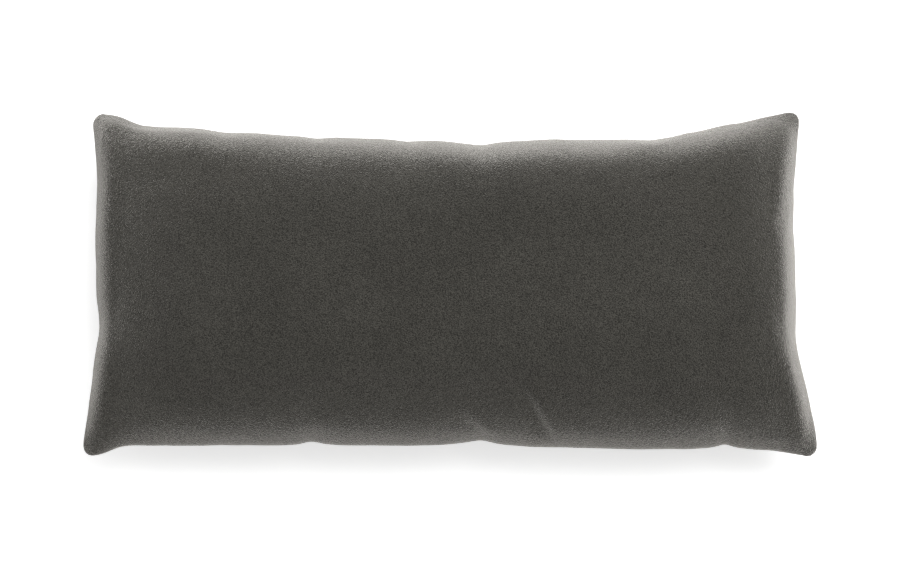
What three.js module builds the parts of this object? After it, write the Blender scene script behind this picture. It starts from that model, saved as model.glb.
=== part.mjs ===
// A lumbar throw pillow, filled and lying on its back with its face up.
//
// The cover is two equal velvet panels, sewn together right round in a plain knife-edge seam and
// turned out, so the pillow is one filled body with a crown on each side of the seam. The filling
// draws the four sides in between the tips, and the seam puckers where its stitches are tight.
//
// Millimetres. +X runs along the pillow, +Y towards its upper long side, +Z out of its face.
// The origin is the centre of its box, on the surface that it lies on.

import * as THREE from 'three';
import { mergeGeometries, mergeVertices } from 'three/addons/utils/BufferGeometryUtils.js';

// Driving dimensions. The cover is cut for the common 24 by 12 inch insert, 610 by 305 mm flat,
// and stands at these sizes once it is filled.
const FACE_CROWN = 62; // height of the face above the seam, at its middle
const BACK_CROWN = 60; // depth that the back would have if nothing lay under it
const SEAM_HEIGHT = 53; // of the seam above the surface, so the back is pressed flat on it
const TIP_RADIUS = 11; // the turned corners are blunt
const TIP_DROOP = 9; // the tips hold little filling and sink

// Where the four tips would come to a point.
const TIPS = {
  lowerLeft: new THREE.Vector2(-305.5, -145.5),
  lowerRight: new THREE.Vector2(305.5, -146.5),
  upperLeft: new THREE.Vector2(-302.5, 144.5),
  upperRight: new THREE.Vector2(296, 146),
};

// How far the filling draws each side in from the straight line between its tips.
// along runs from -1 at the left or lower tip to 1 at the other, and inward is in millimetres.
const DRAWN_IN = {
  upper: [
    { along: -1, inward: 0 },
    { along: -0.95, inward: 2 },
    { along: -0.865, inward: 10.5 },
    { along: -0.7, inward: 14 },
    { along: -0.42, inward: 21 },
    { along: 0.1, inward: 25.5 },
    { along: 0.55, inward: 24.3 },
    { along: 0.7, inward: 18.2 },
    { along: 0.95, inward: 2 },
    { along: 1, inward: 0 },
  ],
  lower: [
    { along: -1, inward: 0 },
    { along: -0.945, inward: 1.5 },
    { along: -0.89, inward: 7.5 },
    { along: -0.8, inward: 8.5 },
    { along: 0, inward: 8.5 },
    { along: 0.5, inward: 6.3 },
    { along: 0.85, inward: 5.5 },
    { along: 1, inward: 0 },
  ],
  left: [
    { along: -1, inward: 0 },
    { along: -0.9, inward: 1.7 },
    { along: -0.5, inward: 8.4 },
    { along: -0.1, inward: 9 },
    { along: 0.3, inward: 6.8 },
    { along: 0.6, inward: 6.8 },
    { along: 0.93, inward: 1 },
    { along: 1, inward: 0 },
  ],
  right: [
    { along: -1, inward: 0 },
    { along: -0.84, inward: 1 },
    { along: -0.4, inward: 12 },
    { along: 0, inward: 11.3 },
    { along: 0.5, inward: 9.2 },
    { along: 0.8, inward: 3.6 },
    { along: 1, inward: 0 },
  ],
};

// Puckers, where a tight run of stitches pulls the seam in. at is the place along the side in
// millimetres from its middle, depth how far the seam is pulled in, half how wide the pull is
// to each side, and reach how far the trough runs into the face and the back.
const PUCKERS = [
  { side: 'upper', at: -187, depth: 1.4, half: 10, reach: 26 },
  { side: 'upper', at: -113, depth: 1.6, half: 9, reach: 30 },
  { side: 'upper', at: -36, depth: 2, half: 10, reach: 34 },
  { side: 'upper', at: 27, depth: 3.6, half: 16, reach: 44 },
  { side: 'upper', at: 170, depth: 1.6, half: 9, reach: 34 },
  { side: 'upper', at: 244, depth: 1.4, half: 8, reach: 26 },
  { side: 'lower', at: -114, depth: 3.6, half: 8, reach: 40 },
  { side: 'lower', at: 26, depth: 4.8, half: 14, reach: 52 },
  { side: 'lower', at: 229, depth: 4.2, half: 8, reach: 38 },
  { side: 'left', at: -39, depth: 5, half: 11, reach: 36 },
  { side: 'right', at: 43, depth: 1.2, half: 8, reach: 26 },
  { side: 'right', at: -50, depth: 1.6, half: 10, reach: 28 },
];

// Soft creases in the face, each a trough with a low ridge on its right, drawn from its foot near
// the lower seam to where it dies out.
const CREASES = [
  { foot: [85, -130], head: [52, -84], depth: 2.6, half: 8 },
  { foot: [31, -132], head: [6, -108], depth: 1.8, half: 8 },
];

// How the crown rises from the seam. A section across the pillow is rounder than one along it.
// The panels roll over beside the seam, so the crown is fuller there by the share roll.
const CROWN_ALONG = { round: 5, edge: 0.6, roll: 0.27, rollAt: 8, rollHalf: 12 };
const CROWN_ACROSS = { round: 3.5, edge: 0.65, roll: 0.08, rollAt: 20, rollHalf: 18 };

// The steps of the mesh, closer together towards the seam, where the crown is steep.
const STEPS_ALONG = 112;
const STEPS_ACROSS = 26;
const CROWDING = { along: 1.2, across: 1.35 };

// Where the back meets the surface it turns from round to flat over this height, and cloth that
// would hang lower than the firm edge over the surface is pressed onto it.
const PRESSED = 4;
const FIRM_EDGE = 1.2;

// A smooth curve through rows of { along, inward }.
function throughRows(rows, along) {
  const last = rows.length - 1;
  const slope = (i) => {
    const before = rows[Math.max(i - 1, 0)];
    const after = rows[Math.min(i + 1, last)];
    return (after.inward - before.inward) / (after.along - before.along);
  };
  const i = Math.max(0, rows.findIndex((row, n) => n < last && along <= rows[n + 1].along));
  const span = rows[i + 1].along - rows[i].along;
  const t = (along - rows[i].along) / span;
  return (
    rows[i].inward * (1 + 2 * t) * (1 - t) ** 2 +
    rows[i + 1].inward * t * t * (3 - 2 * t) +
    slope(i) * span * t * (1 - t) ** 2 -
    slope(i + 1) * span * t * t * (1 - t)
  );
}

// A point of the seam on one side, at along from -1 to 1, without its puckers.
function sidePoint(side, along) {
  const [start, end, inward] = {
    upper: [TIPS.upperLeft, TIPS.upperRight, new THREE.Vector2(0, -1)],
    lower: [TIPS.lowerLeft, TIPS.lowerRight, new THREE.Vector2(0, 1)],
    left: [TIPS.lowerLeft, TIPS.upperLeft, new THREE.Vector2(1, 0)],
    right: [TIPS.lowerRight, TIPS.upperRight, new THREE.Vector2(-1, 0)],
  }[side];
  return start
    .clone()
    .lerp(end, (along + 1) / 2)
    .addScaledVector(inward, throughRows(DRAWN_IN[side], along));
}

// The place in plan of a panel point, from u along the pillow and v across it, each from -1 to 1.
function inPlan(u, v) {
  const right = (u + 1) / 2;
  const up = (v + 1) / 2;
  const point = new THREE.Vector2()
    .addScaledVector(sidePoint('lower', u), 1 - up)
    .addScaledVector(sidePoint('upper', u), up)
    .addScaledVector(sidePoint('left', v), 1 - right)
    .addScaledVector(sidePoint('right', v), right);
  return point
    .addScaledVector(TIPS.lowerLeft, -(1 - right) * (1 - up))
    .addScaledVector(TIPS.lowerRight, -right * (1 - up))
    .addScaledVector(TIPS.upperLeft, -(1 - right) * up)
    .addScaledVector(TIPS.upperRight, -right * up);
}

const halfLength = TIPS.lowerRight.x;
const halfWidth = TIPS.upperRight.y;

// Rounds the tips: the last square of the panel at each corner is pressed into a quarter disc.
function bluntTip(u, v) {
  const p = Math.max(0, 1 - ((1 - Math.abs(u)) * halfLength) / TIP_RADIUS);
  const q = Math.max(0, 1 - ((1 - Math.abs(v)) * halfWidth) / TIP_RADIUS);
  const shorterBy = (a, b) => TIP_RADIUS * a * (1 - Math.sqrt(1 - (b * b) / 2));
  return [
    u - (Math.sign(u) * shorterBy(p, q)) / halfLength,
    v - (Math.sign(v) * shorterBy(q, p)) / halfWidth,
  ];
}

const bell = (distance, half) => Math.exp(-((distance / half) ** 2));
const notch = (distance, half) => Math.exp(0.3 - Math.hypot(distance / half, 0.3));

// The share of the full crown at a panel point: 0 on the seam and 1 in the middle.
function crownShare(u, v) {
  const rise = (k, halfSpan, { round, edge, roll, rollAt, rollHalf }) => {
    const fromSeam = (1 - Math.abs(k)) * halfSpan;
    const fuller = 1 + roll * bell(fromSeam - rollAt, rollHalf);
    return Math.max(0, 1 - Math.abs(k) ** round) ** edge * fuller;
  };
  return rise(u, halfLength, CROWN_ALONG) * rise(v, halfWidth, CROWN_ACROSS);
}

// What the puckers do at a point in plan: the pull of the seam, as a vector, and the share of
// the crown that the troughs take away.
function puckersAt(point, u, v) {
  const sides = {
    upper: { along: point.x, off: (1 - v) * halfWidth, inward: [0, -1] },
    lower: { along: point.x, off: (1 + v) * halfWidth, inward: [0, 1] },
    left: { along: point.y, off: (1 + u) * halfLength, inward: [1, 0] },
    right: { along: point.y, off: (1 - u) * halfLength, inward: [-1, 0] },
  };
  const pull = new THREE.Vector2();
  let lost = 0;
  for (const { side, at, depth, half, reach } of PUCKERS) {
    const { along, off, inward } = sides[side];
    const near = depth * notch(along - at, half);
    pull.addScaledVector(new THREE.Vector2(...inward), near * bell(off, reach / 2));
    lost += (near / FACE_CROWN) * bell(off - reach / 3, reach / 2);
  }
  return { pull, lost };
}

// The height that the creases add to the face at a point in plan.
function creasesAt(point) {
  let height = 0;
  for (const { foot, head, depth, half } of CREASES) {
    const start = new THREE.Vector2(...foot);
    const run = new THREE.Vector2(...head).sub(start);
    const length = run.length();
    run.normalize();
    const away = point.clone().sub(start);
    const along = away.dot(run) / length;
    const right = away.x * run.y - away.y * run.x;
    const fade = THREE.MathUtils.smoothstep(1 - along, 0, 0.7) * THREE.MathUtils.smoothstep(along, -0.5, 0.1);
    height += 1.6 * depth * fade * (right / half) * bell(right, half);
  }
  return height;
}

// The surface under the pillow presses its back flat, with a smooth turn and then a firm edge.
function pressedFlat(z) {
  if (z >= PRESSED) return z;
  const turned = z <= -PRESSED ? 0 : (z + PRESSED) ** 2 / (4 * PRESSED);
  return turned < FIRM_EDGE ? 0 : turned;
}

// One panel, from a flat plane of u and v: side is 1 for the face and -1 for the back.
function panel(side) {
  const plane = new THREE.PlaneGeometry(2, 2, STEPS_ALONG, STEPS_ACROSS);
  plane.deleteAttribute('normal');
  plane.deleteAttribute('uv');
  const points = plane.getAttribute('position');
  const crowd = (k, strength) => Math.sin(k * strength) / Math.sin(strength);
  for (let i = 0; i < points.count; i++) {
    const u = crowd(points.getX(i), CROWDING.along);
    const v = crowd(points.getY(i), CROWDING.across);
    const place = inPlan(...bluntTip(u, v));
    const { pull, lost } = puckersAt(place, u, v);
    const share = crownShare(u, v) * (1 - lost);
    const seam = SEAM_HEIGHT - TIP_DROOP * Math.abs(u * v) ** 5;
    const crease = creasesAt(place) * Math.min(1, 3 * share);
    const z = side > 0 ? seam + FACE_CROWN * share + crease : pressedFlat(seam - BACK_CROWN * share);
    points.setXYZ(i, place.x + pull.x, place.y + pull.y, z);
  }
  if (side < 0) plane.index.array.reverse();
  return plane;
}

// The filled pillow, closed along the seam, with its origin under the centre of its box.
function cushionSolid() {
  const solid = mergeVertices(mergeGeometries([panel(1), panel(-1)]), 1e-3);
  solid.computeBoundingBox();
  const centre = solid.boundingBox.getCenter(new THREE.Vector3());
  solid.translate(-centre.x, -centre.y, -solid.boundingBox.min.z);
  solid.computeVertexNormals();
  return solid;
}

const velvet = new THREE.MeshStandardMaterial({ color: 0x494642, roughness: 0.95, metalness: 0 });

const pillow = new THREE.Group();
const cushion = new THREE.Mesh(cushionSolid(), velvet);
cushion.name = 'cushion';
pillow.add(cushion);

export default pillow;
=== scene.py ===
# %% [markdown]
# # A velvet lumbar pillow
# The real pillow is two oblong panels of dark velvet, sewn together right round, turned out and
# filled with fibre. It lies on its back, so the face looks up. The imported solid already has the
# right size, outline and crown, and this lesson dresses it: a fine cloth cover, its sewn edge, its
# puckers and creases, and a velvet that is dark face on and pale where it is seen edge on.

import math

import bpy
import numpy as np
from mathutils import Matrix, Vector, noise
from mathutils.kdtree import KDTree


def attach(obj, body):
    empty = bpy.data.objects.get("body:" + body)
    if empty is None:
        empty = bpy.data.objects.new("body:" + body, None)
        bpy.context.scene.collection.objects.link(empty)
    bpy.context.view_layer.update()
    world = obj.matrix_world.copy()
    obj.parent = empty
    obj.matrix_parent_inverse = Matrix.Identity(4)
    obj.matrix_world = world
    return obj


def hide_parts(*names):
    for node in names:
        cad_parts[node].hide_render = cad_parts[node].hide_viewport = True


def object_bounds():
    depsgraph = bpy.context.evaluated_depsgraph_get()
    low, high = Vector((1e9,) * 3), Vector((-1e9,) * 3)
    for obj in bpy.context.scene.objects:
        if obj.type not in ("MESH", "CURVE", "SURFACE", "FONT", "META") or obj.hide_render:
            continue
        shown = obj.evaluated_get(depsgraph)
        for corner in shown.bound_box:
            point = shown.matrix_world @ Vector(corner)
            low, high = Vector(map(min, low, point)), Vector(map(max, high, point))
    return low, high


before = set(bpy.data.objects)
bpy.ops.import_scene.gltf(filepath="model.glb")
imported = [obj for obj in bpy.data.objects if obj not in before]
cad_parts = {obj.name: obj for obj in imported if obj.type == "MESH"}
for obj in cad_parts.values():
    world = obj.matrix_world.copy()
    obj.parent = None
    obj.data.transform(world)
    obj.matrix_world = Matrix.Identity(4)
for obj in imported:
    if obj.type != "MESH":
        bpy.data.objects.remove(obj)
bpy.context.view_layer.update()
cad_low, cad_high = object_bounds()
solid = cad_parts["cushion"]
LENGTH = cad_high[0] - cad_low[0]
WIDTH = cad_high[1] - cad_low[1]
THICKNESS = cad_high[2] - cad_low[2]
print(f"pillow {LENGTH:.3f} x {WIDTH:.3f} x {THICKNESS:.3f} m")

# %% [markdown]
# ## Small helpers
# Every vertex of a mesh can be read into one table of numbers, changed all at once and written
# back. That is quicker than moving vertices one by one, and the formulas stay short.

# %% Helpers for points and modifiers
TINY = 1e-9  # the shortest length that anything is divided by
MM = 1000  # millimetres in a metre, for what is printed


def points_of(piece):
    """All vertex positions of a mesh object, one row of x, y and z for each, in metres."""
    rows = np.empty(len(piece.data.vertices) * 3)
    piece.data.vertices.foreach_get("co", rows)
    return rows.reshape(-1, 3)


def move_points(piece, points):
    """Writes the positions back."""
    piece.data.vertices.foreach_set("co", points.ravel())
    piece.data.update()


def bell(distance, half):
    """A smooth bump: 1 at no distance, and nearly 0 at twice the half width."""
    return np.exp(-((distance / half) ** 2))


def ease(value, start, end):
    """0 before start and 1 after end, with a smooth rise between them."""
    t = np.clip((value - start) / (end - start), 0, 1)
    return t * t * (3 - 2 * t)


def only(piece):
    """Makes one object the active one, with nothing else selected."""
    bpy.ops.object.select_all(action="DESELECT")
    piece.select_set(True)
    bpy.context.view_layer.objects.active = piece


def subdivide(piece, levels):
    """Subdivision Surface, applied: each quad becomes four, on a smoother surface."""
    only(piece)
    finer = piece.modifiers.new("finer", "SUBSURF")
    finer.levels = levels
    finer.render_levels = levels
    bpy.ops.object.modifier_apply(modifier=finer.name)
    print(piece.name, "has", len(piece.data.polygons), "faces")


print("helpers are ready")

# %% [markdown]
# ## The camera
# It looks at the face at the photo's angle, which is an estimate: square to the length of the
# pillow, and tilted a little towards its lower long side. It stands two metres away with a long
# lens, so the sides look almost parallel. The lens is worked out from the width that the view takes
# in, which is easier to judge.

# %% Place the camera
VIEW_TILT = math.radians(8)  # from straight above, towards the lower long side
VIEW_DISTANCE = 2.0
VIEW_WIDTH = 0.752  # in metres, at the pillow
SENSOR = 36.0  # in millimetres, as is the lens
AIM = Vector((0.0, -0.0021, 0.055))  # the middle of the pillow, at about the height of its seam

camera_data = bpy.data.cameras.new("camera")
camera_data.sensor_width = SENSOR
camera_data.lens = SENSOR * VIEW_DISTANCE / VIEW_WIDTH
camera = bpy.data.objects.new("camera", camera_data)
towards_camera = Vector((0.0, -math.sin(VIEW_TILT), math.cos(VIEW_TILT)))
camera.location = AIM + VIEW_DISTANCE * towards_camera
camera.rotation_euler = (VIEW_TILT, 0.0, 0.0)
bpy.context.scene.collection.objects.link(camera)
bpy.context.scene.camera = camera
print(f"camera lens {camera_data.lens:.1f} mm")

# %% [markdown]
# ## The cover, from the solid
# The cover could be drawn from a flat grid, but the solid already follows the outline, so a copy
# of it is the surest start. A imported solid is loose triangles. They are merged and paired into
# quads, which subdivide evenly and fold like woven cloth.

# %% Copy the solid and turn it into quads
SAME_PLACE = 2e-5  # corners closer together than this are one
PAIR_LIMIT = math.radians(60)  # how far two triangles may be from flat or square, and still pair

cover = bpy.data.objects.new("velvet_cover", solid.data.copy())
bpy.context.scene.collection.objects.link(cover)
cover.data.materials.clear()
only(cover)
bpy.ops.object.mode_set(mode="EDIT")
bpy.ops.mesh.select_all(action="SELECT")
bpy.ops.mesh.remove_doubles(threshold=SAME_PLACE)
bpy.ops.mesh.tris_convert_to_quads(face_threshold=PAIR_LIMIT, shape_threshold=PAIR_LIMIT)
bpy.ops.object.mode_set(mode="OBJECT")
face_corners = [len(face.vertices) for face in cover.data.polygons]
print("quads", face_corners.count(4), "triangles", face_corners.count(3))

# %% [markdown]
# ## Find the seam
# The seam is the line where the face panel, which looks up, meets the back panel, which looks
# down. It could be picked by height, but it droops at the tips, and the change from up to down
# always finds it. Its points are kept in a vertex group, because subdividing carries a group along.


# %% Mark the seam in a vertex group
def seam_edges(piece):
    """The edges between a face that looks up and one that looks down."""
    looks = {}
    for face in piece.data.polygons:
        for key in face.edge_keys:
            looks.setdefault(key, []).append(face.normal.z > 0)
    return [key for key, sides in looks.items() if len(sides) == 2 and sides[0] != sides[1]]


seam_line = seam_edges(cover)
seam_points = sorted({index for key in seam_line for index in key})
cover.vertex_groups.new(name="seam").add(seam_points, 1.0, "REPLACE")
print("seam points", len(seam_points), "edges", len(seam_line))

# %% [markdown]
# ## Keep the outline while the cover gets finer
# Subdividing rounds the knife edge as turned velvet does, but it also draws the edge in, most of all
# at the tips. So a trial copy shows how far each seam point drifts, and the point is set out by that
# much first. A few rounds bring the finished edge back onto its own line.

# %% Set the seam out and subdivide once
SET_OUT_ROUNDS = 4
FULL_DETAIL = 2  # subdivisions in all, one before the filling and one after it


def subdivided_points(piece, levels):
    """Where the piece's own points end up when it is subdivided, from a trial copy."""
    trial = piece.copy()
    trial.data = piece.data.copy()
    bpy.context.scene.collection.objects.link(trial)
    subdivide(trial, levels)
    ends = points_of(trial)[: len(piece.data.vertices)]
    bpy.data.objects.remove(trial)
    return ends


wanted = points_of(cover)[seam_points]
for _ in range(SET_OUT_ROUNDS):
    drift = wanted - subdivided_points(cover, FULL_DETAIL)[seam_points]
    places = points_of(cover)
    places[seam_points] += drift
    move_points(cover, places)
print(f"the last round set the seam out by {np.linalg.norm(drift, axis=1).max() * MM:.2f} mm or less")
subdivide(cover, 1)

# %% [markdown]
# ## Fill it
# A maker stuffs the cover until its panels are taut. They could be rounded by hand, but a short
# cloth simulation, with pressure inside, tightens them between the puckers as real cloth does. The
# seam is pinned, so the outline holds, and the swell is capped, because the size has to stay.

# %% Inflate the cover with the seam pinned
PRESSURE = 4.0
FILL_FRAMES = 16
MOST_SWELL = 0.003  # the furthest that a point may move


def fill(piece):
    """Runs Blender's Cloth on the piece, and keeps how it ends."""
    before = points_of(piece)
    cloth = piece.modifiers.new("filling", "CLOTH")
    settings = cloth.settings
    settings.quality = 6
    settings.mass = 0.3
    settings.tension_stiffness = 30
    settings.compression_stiffness = 30
    settings.shear_stiffness = 12
    settings.bending_stiffness = 2
    settings.air_damping = 8
    settings.use_pressure = True
    settings.uniform_pressure_force = PRESSURE
    settings.vertex_group_mass = "seam"
    settings.effector_weights.gravity = 0
    cloth.collision_settings.use_collision = False
    cloth.point_cache.frame_end = FILL_FRAMES
    scene = bpy.context.scene
    for step in range(1, FILL_FRAMES + 1):
        scene.frame_set(step)
    only(piece)
    bpy.ops.object.modifier_apply(modifier=cloth.name)
    scene.frame_set(1)
    moved = points_of(piece) - before
    far = np.linalg.norm(moved, axis=1)
    keep = MOST_SWELL * np.tanh(far / MOST_SWELL) / np.maximum(far, TINY)
    move_points(piece, before + moved * keep[:, None])
    print(f"the panels moved up to {far.max() * MM:.1f} mm, kept to {MOST_SWELL * MM:.0f} mm")


fill(cover)
subdivide(cover, 1)

# %% [markdown]
# ## Know how far from the seam each point is
# What the stitches do to the cloth fades with the distance from them, so it is measured once, to
# the nearest point of the seam. A search tree finds that point much faster than trying them all.

# %% Measure each point's distance from the seam
FULL_WEIGHT = 0.999  # subdividing gives the points beside the seam less weight than this


def seam_weights(piece):
    """How far each point belongs to the seam, from the vertex group: 1 on it."""
    weights = np.zeros(len(piece.data.vertices))
    for vertex in piece.data.vertices:
        for entry in vertex.groups:
            weights[vertex.index] = entry.weight
    return weights


weights = seam_weights(cover)
on_seam = np.where(weights > FULL_WEIGHT)[0]
places = points_of(cover)
tree = KDTree(len(on_seam))
for order, index in enumerate(on_seam):
    tree.insert(places[index], order)
tree.balance()
nearest = [tree.find(place) for place in places]
from_seam = np.array([found[2] for found in nearest])
seam_order = np.array([found[1] for found in nearest])
nearest_seam = on_seam[seam_order]
print("points on the seam", len(on_seam), "furthest from it", round(from_seam.max(), 3), "m")

# %% [markdown]
# ## Know which way is out
# The cloth beside a seam is pushed straight out from the middle of its side, and fans out round a
# turned corner. The direction could come from the mesh's normals, but those turn with every pucker,
# so it is worked out in plan, from where each point lies beyond the middle of the pillow.

# %% Find the way out and the gap to each side
MARGIN = 0.06  # only cloth this near to an end or a long side has a way out
FACING = 0.7  # a seam point is on the side that it faces by more than this

middle = np.array([LENGTH / 2 - MARGIN, WIDTH / 2 - MARGIN])
outward = np.zeros_like(places)
outward[:, :2] = np.sign(places[:, :2]) * np.maximum(np.abs(places[:, :2]) - middle, 0)
outward /= np.maximum(np.linalg.norm(outward, axis=1), TINY)[:, None]


def beside(side):
    """How far along a side each point is, and how far in from its seam, straight across.

    The side is given by the way that it faces in plan, such as (1, 0) for the right end.
    """
    across = 0 if side[0] else 1
    along = 1 - across
    line = places[on_seam[outward[on_seam, :2] @ side > FACING]]
    line = line[np.argsort(line[:, along])]
    edge = np.interp(places[:, along], line[:, along], line[:, across])
    return places[:, along], np.maximum((edge - places[:, across]) * side[across], 0)


print("points with a way out", np.count_nonzero(outward.any(axis=1)), "of", len(places))

# %% [markdown]
# ## Roll the panels over
# Well-filled velvet doesn't ramp up evenly from its seam. It rolls over beside it, so a band along
# each side stands nearly upright, and from above that band is the pale rim of the pillow. Bands
# could be sculpted with a brush, but as rows of a table each one is easy to find and to change.
# The upper side and the right end are the plumpest, and the upper side is hollowed at one pucker.

# %% Plump up the bands beside the seam
# A row lifts the panels off the seam along one side, or presses them in where the lift is less
# than 0. The lift is reached and has gone at these distances in from the seam. It is fullest at
# one place along the side, measured from the pillow's middle, and spreads from there.
RIGHT = (1, 0)
LEFT = (-1, 0)
UPPER = (0, 1)
LOWER = (0, -1)
ROLLS = [
    {"side": RIGHT, "lift": 0.0090, "reach": 0.0100, "gone": 0.090, "fullest": -0.020, "spread": 0.130},
    {"side": LEFT, "lift": 0.0028, "reach": 0.0045, "gone": 0.050, "fullest": -0.010, "spread": 0.160},
    {"side": UPPER, "lift": 0.0085, "reach": 0.0160, "gone": 0.095, "fullest": 0.090, "spread": 0.200},
    {"side": UPPER, "lift": 0.0055, "reach": 0.0050, "gone": 0.060, "fullest": -0.250, "spread": 0.100},
    {"side": UPPER, "lift": -0.0045, "reach": 0.0160, "gone": 0.095, "fullest": 0.167, "spread": 0.028},
    {"side": UPPER, "lift": 0.0050, "reach": 0.0050, "gone": 0.060, "fullest": 0.167, "spread": 0.028},
    {"side": LOWER, "lift": -0.0030, "reach": 0.0160, "gone": 0.095, "fullest": 0.000, "spread": 0.300},
]
FULL_CROWN = 0.015  # where the pillow is thinner than this, it rolls less

above_seam = places[:, 2] - places[nearest_seam, 2]
thick = np.minimum(np.abs(above_seam) / FULL_CROWN, 1)
lift = np.zeros(len(places))
for roll in ROLLS:
    along, gap = beside(roll["side"])
    fullness = bell(along - roll["fullest"], roll["spread"])
    rolled = (1 - bell(gap, roll["reach"])) * (1 - ease(gap, roll["reach"], roll["gone"]))
    lift += roll["lift"] * fullness * rolled
places[:, 2] += np.sign(above_seam) * lift * thick
move_points(cover, places)
print(f"the panels are lifted by up to {(lift * thick).max() * MM:.1f} mm")

# %% [markdown]
# ## Thin the tips
# Filling hardly gets into a corner, so a turned tip is flatter than the rest. Scaling the tips in
# edit mode would do, but a smooth share of each point's height above the seam leaves no step.

# %% Press the tips thinner
TIPS = [  # the share of its height that a tip loses, and how wide the loss is
    {"at": (-0.294, 0.138), "share": 0.30, "half": 0.028},
    {"at": (0.292, 0.138), "share": 0.25, "half": 0.030},
    {"at": (0.300, -0.140), "share": 0.20, "half": 0.028},
    {"at": (-0.300, -0.140), "share": 0.25, "half": 0.028},
]


def away_from(spot):
    """How far each point is, in plan, from a row's own place."""
    return np.linalg.norm(places[:, :2] - spot["at"], axis=1)


for tip in TIPS:
    places[:, 2] -= above_seam * tip["share"] * bell(away_from(tip), tip["half"])
move_points(cover, places)
print("tips", len(TIPS))

# %% [markdown]
# ## The uneven edge
# The cloth stands out a hair beside its stitches, and stuffing is never quite even, so here and
# there the edge is a little fuller or more drawn in. Proportional editing could pull each place
# out by eye, and a table of soft nudges does the same with the sizes on show.

# %% Say where the edge stands out
STAND_OUT = 0.0006  # how far the cloth beside the seam stands out from its line
STAND_OUT_REACH = 0.009
NUDGES = [  # where the edge is stuffed a little further out, or drawn in a little more
    {"at": (-0.298, 0.143), "out": 0.0012, "half": 0.014},
    {"at": (-0.276, 0.138), "out": 0.0034, "half": 0.013},
    {"at": (0.293, 0.144), "out": 0.0020, "half": 0.020},
    {"at": (0.302, -0.143), "out": 0.0012, "half": 0.016},
    {"at": (-0.302, -0.143), "out": 0.0008, "half": 0.014},
    {"at": (0.240, 0.130), "out": 0.0012, "half": 0.022},
    {"at": (0.088, 0.117), "out": 0.0012, "half": 0.018},
    {"at": (0.010, 0.116), "out": -0.0009, "half": 0.016},
    {"at": (-0.190, 0.124), "out": -0.0008, "half": 0.016},
    {"at": (0.184, 0.118), "out": -0.0008, "half": 0.014},
    {"at": (0.010, -0.138), "out": -0.0006, "half": 0.030},
]

stand_out = STAND_OUT * bell(from_seam, STAND_OUT_REACH)
for nudge in NUDGES:
    stand_out += nudge["out"] * bell(away_from(nudge), nudge["half"])
print(f"the edge stands out by up to {stand_out.max() * MM:.1f} mm")

# %% [markdown]
# ## The sewn seam
# The two panels roll over their allowance and meet in a fine valley. A loop cut could be scaled
# in, but no ruler draws a seam, so it also wanders a little up and down, and each few stitches
# gather the velvet by a hair. Noise along the seam does that in the same way on each run.

# %% Sink the seam and let it wander
SEAM_DEPTH = 0.0020
SEAM_HALF_WIDTH = 0.0015
TIP_EASE = 0.85  # a turned tip is packed tight, so its seam hardly sinks
TIP_EASE_REACH = 0.02
WANDER = {"by": 0.0011, "pitch": 0.05, "reach": 0.03, "seed": 1}  # up and down
RUFFLE = {"by": 0.0005, "pitch": 0.015, "reach": 0.012, "seed": 2}  # in and out
SEED_STEP = Vector((1.0, 2.3, 5.1))  # moves the noise on, so no two patterns match


def seam_noise(uneven):
    """An unevenness that follows the seam, turns over in its pitch and fades over its reach."""
    offset = uneven["seed"] * SEED_STEP
    values = [noise.noise(Vector(places[index]) / uneven["pitch"] + offset) for index in on_seam]
    return uneven["by"] * np.array(values)[seam_order] * bell(from_seam, uneven["reach"])


wander = seam_noise(WANDER)
ruffle = seam_noise(RUFFLE)
valley = SEAM_DEPTH * bell(from_seam, SEAM_HALF_WIDTH)
for tip in TIPS:
    valley *= 1 - TIP_EASE * bell(away_from(tip), TIP_EASE_REACH)
places[:, 2] += wander
places += outward * (stand_out + ruffle - valley)[:, None]
move_points(cover, places)
print(f"the seam is sunk by up to {valley.max() * MM:.1f} mm")

# %% [markdown]
# ## Creases in the face
# Where a stitch run is tight at the lower seam, a soft crease runs up from it and dies out: a
# trough on its left and a low ridge on its right. A cloth simulation folds where it likes, so each
# crease is pressed in where it is wanted, by one row of the table.

# %% Press the creases in
CREASES = [  # from its foot at the seam to its head on the face
    {"foot": (0.0880, -0.1366), "head": (0.0520, -0.0800), "depth": 0.0019, "half": 0.0056},
    {"foot": (0.0310, -0.1330), "head": (0.0030, -0.1040), "depth": 0.0013, "half": 0.0058},
]
FOOT_FADE = (-0.3, 0.2)  # where it grows from nothing to its depth, in shares of its length
HEAD_FADE = 0.6  # the share of its length over which it dies out at its head
PEAK = 2.3  # a bell times its own distance is 1 / 2.3 at most, so this brings it to the depth

places = points_of(cover)
face_side = places[:, 2] > places[nearest_seam, 2]
for crease in CREASES:
    foot = np.array(crease["foot"])
    run = np.array(crease["head"]) - foot
    length = np.linalg.norm(run)
    run /= length
    away = places[:, :2] - foot
    along = away @ run / length
    right = away[:, 0] * run[1] - away[:, 1] * run[0]
    fade = ease(1 - along, 0, HEAD_FADE) * ease(along, *FOOT_FADE)
    height = PEAK * crease["depth"] * (right / crease["half"]) * bell(right, crease["half"])
    places[:, 2] += np.where(face_side, height * fade, 0)
move_points(cover, places)
print("creases", len(CREASES))

# %% [markdown]
# ## Lay it down
# The surface presses the back flat. Scaling the lowest points to nothing would leave a sharp edge,
# so points that would sink into the surface are brought up to it, with a smooth turn round the flat.

# %% Press the back flat
TURN = 0.003  # the height over which the back turns from round to flat
LYING = 0.0002  # a point lower than this lies on the surface

places = points_of(cover)
height = places[:, 2]
turned = (height + TURN) ** 2 / (4 * TURN)
places[:, 2] = np.where(height <= -TURN, 0, np.where(height < TURN, turned, height))
move_points(cover, places)
cover.data.shade_smooth()
flat_share = np.mean(places[:, 2] < LYING)
print(f"{flat_share:.0%} of the points lie on the surface")

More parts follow.
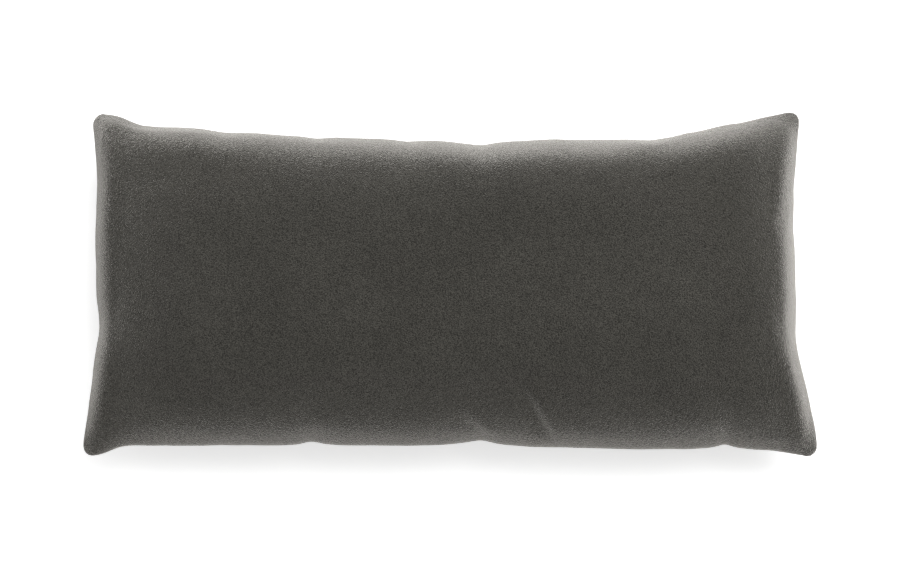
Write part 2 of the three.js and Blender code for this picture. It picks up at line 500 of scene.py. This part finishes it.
# %% [markdown]
# ## Patterns for the pile
# Pile is thousands of short hairs. They could be modelled as hair, but at arm's length only their
# shade shows, so noise stands in for them, and a few helpers join its nodes. It reads the pillow's
# own coordinates, so the pattern stays on the cloth when the pillow is moved.

# %% Helpers for patterns
TURNED = (0.7, 0.5, 0.3)  # turns the noise, so that no layer of it lies in the face


def pattern(tree, where, scale, stretch, detail, roughness):
    """Noise at the coordinates of a socket, finer for a higher scale."""
    mapping = tree.nodes.new("ShaderNodeMapping")
    mapping.inputs["Scale"].default_value = (stretch, 1.0, 1.0)
    mapping.inputs["Rotation"].default_value = TURNED
    tree.links.new(where, mapping.inputs["Vector"])
    texture = tree.nodes.new("ShaderNodeTexNoise")
    texture.inputs["Scale"].default_value = scale
    texture.inputs["Detail"].default_value = detail
    texture.inputs["Roughness"].default_value = roughness
    tree.links.new(mapping.outputs["Vector"], texture.inputs["Vector"])
    return texture.outputs["Fac"]


def shade(tree, value, low, high, darkest, palest):
    """Turns a pattern's low to high into a grey factor from darkest to palest."""
    change = tree.nodes.new("ShaderNodeMapRange")
    change.inputs["From Min"].default_value = low
    change.inputs["From Max"].default_value = high
    change.inputs["To Min"].default_value = darkest
    change.inputs["To Max"].default_value = palest
    tree.links.new(value, change.inputs["Value"])
    return change.outputs["Result"]


def times(tree, a, b):
    """The product of two factors."""
    product = tree.nodes.new("ShaderNodeMath")
    product.operation = "MULTIPLY"
    tree.links.new(a, product.inputs[0])
    tree.links.new(b, product.inputs[1])
    return product.outputs["Value"]


print("pattern helpers are ready")

# %% [markdown]
# ## Velvet
# Velvet is a dark ground with a dense upright pile. Face on, light sinks into the pile. Edge on,
# the sides of the hairs catch it, which is what the shader's sheen is for. Handling leaves the pile
# leaning a little differently in soft clouds and in smaller brushed patches, and up close it has a
# fine grain, which shades the cloth and gives it a slight bump.

# %% Mix the velvet
GROUND = (0.0366, 0.0350, 0.0304)  # a dark warm grey, as linear red, green and blue
SHEEN_TINT = (1.0, 0.965, 0.91, 1.0)
GRAIN_HEIGHT = 0.0010


def velvet_material():
    """Dark pile with clouds, brushed patches and a fine grain, pale where it is seen edge on."""
    material = bpy.data.materials.new("velvet")
    material.use_nodes = True
    tree = material.node_tree
    shader = tree.nodes["Principled BSDF"]
    where = tree.nodes.new("ShaderNodeTexCoord").outputs["Object"]

    clouds = pattern(tree, where, scale=17, stretch=0.8, detail=3, roughness=0.6)
    brushed = pattern(tree, where, scale=85, stretch=1.3, detail=2, roughness=0.6)
    grain = pattern(tree, where, scale=1300, stretch=0.9, detail=0, roughness=0.5)

    leaning = shade(tree, clouds, low=0.35, high=0.65, darkest=0.92, palest=1.08)
    patches = shade(tree, brushed, low=0.35, high=0.65, darkest=0.95, palest=1.05)
    hairs = shade(tree, grain, low=0.30, high=0.70, darkest=0.38, palest=1.64)
    scaled = tree.nodes.new("ShaderNodeVectorMath")
    scaled.operation = "SCALE"
    scaled.inputs[0].default_value = GROUND
    tree.links.new(times(tree, times(tree, leaning, patches), hairs), scaled.inputs["Scale"])
    tree.links.new(scaled.outputs["Vector"], shader.inputs["Base Color"])

    bump = tree.nodes.new("ShaderNodeBump")
    bump.inputs["Strength"].default_value = 1.0
    bump.inputs["Distance"].default_value = GRAIN_HEIGHT
    tree.links.new(grain, bump.inputs["Height"])
    tree.links.new(bump.outputs["Normal"], shader.inputs["Normal"])

    shader.inputs["Roughness"].default_value = 0.95
    shader.inputs["Specular IOR Level"].default_value = 0.05
    shader.inputs["Sheen Weight"].default_value = 1.0
    shader.inputs["Sheen Roughness"].default_value = 0.40
    shader.inputs["Sheen Tint"].default_value = SHEEN_TINT
    return material


velvet = velvet_material()
cover.data.materials.append(velvet)
print("velvet nodes", len(velvet.node_tree.nodes))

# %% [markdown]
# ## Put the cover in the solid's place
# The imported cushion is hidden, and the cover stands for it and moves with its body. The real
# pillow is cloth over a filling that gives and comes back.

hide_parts("cushion")
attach(cover, "root")
print(cover.name, "replaces", solid.name)

# %% [markdown]
# ## The floor
# The floor is a white table lit a little from below, as for product photographs, so shadows on it
# stay pale. A second light under glass would do the same, but a little emission is simpler.

# %% Lay the floor
FLOOR_SIZE = 12.0
FLOOR_GLOW = 0.46
WHITE = (1.0, 1.0, 1.0, 1.0)

bpy.ops.object.select_all(action="DESELECT")
bpy.ops.mesh.primitive_plane_add(size=FLOOR_SIZE, location=(0.0, 0.0, 0.0))
floor = bpy.context.active_object
floor.name = "floor"
floor_paint = bpy.data.materials.new("floor_paint")
floor_paint.use_nodes = True
floor_shader = floor_paint.node_tree.nodes["Principled BSDF"]
floor_shader.inputs["Base Color"].default_value = (0.9, 0.9, 0.9, 1.0)
floor_shader.inputs["Roughness"].default_value = 0.9
floor_shader.inputs["Specular IOR Level"].default_value = 0.1
floor_shader.inputs["Emission Color"].default_value = WHITE
floor_shader.inputs["Emission Strength"].default_value = FLOOR_GLOW
floor.data.materials.append(floor_paint)
print("floor", FLOOR_SIZE, "m square")

# %% [markdown]
# ## The light
# Velvet shows its shape by its pale edges, so the light comes from large soft boxes high beyond the
# upper side, the stronger one to the right. The pile of the upper side and of the right end catches
# them. Small lamps would give hard shadows. The even white world lights the sides that face away.

# %% Hang the lights
BOX_SIZE = 2.0
STUDIO_LIGHT = 0.60


def soft_light(name, place, power):
    """A square soft box that looks at the pillow."""
    data = bpy.data.lights.new(name, "AREA")
    data.size = BOX_SIZE
    data.energy = power
    light = bpy.data.objects.new(name, data)
    light.location = place
    light.rotation_euler = (-Vector(place)).to_track_quat("-Z", "Y").to_euler()
    bpy.context.scene.collection.objects.link(light)
    print(name, "gives", power, "W")


soft_light("upper_right_light", (1.0, 1.1, 2.1), 54)
soft_light("upper_light", (0.25, 1.25, 2.1), 16)

world = bpy.data.worlds.new("studio")
bpy.context.scene.world = world
world.use_nodes = True
world.node_tree.nodes["Background"].inputs["Color"].default_value = WHITE
world.node_tree.nodes["Background"].inputs["Strength"].default_value = STUDIO_LIGHT
bpy.context.scene.view_settings.view_transform = "Standard"
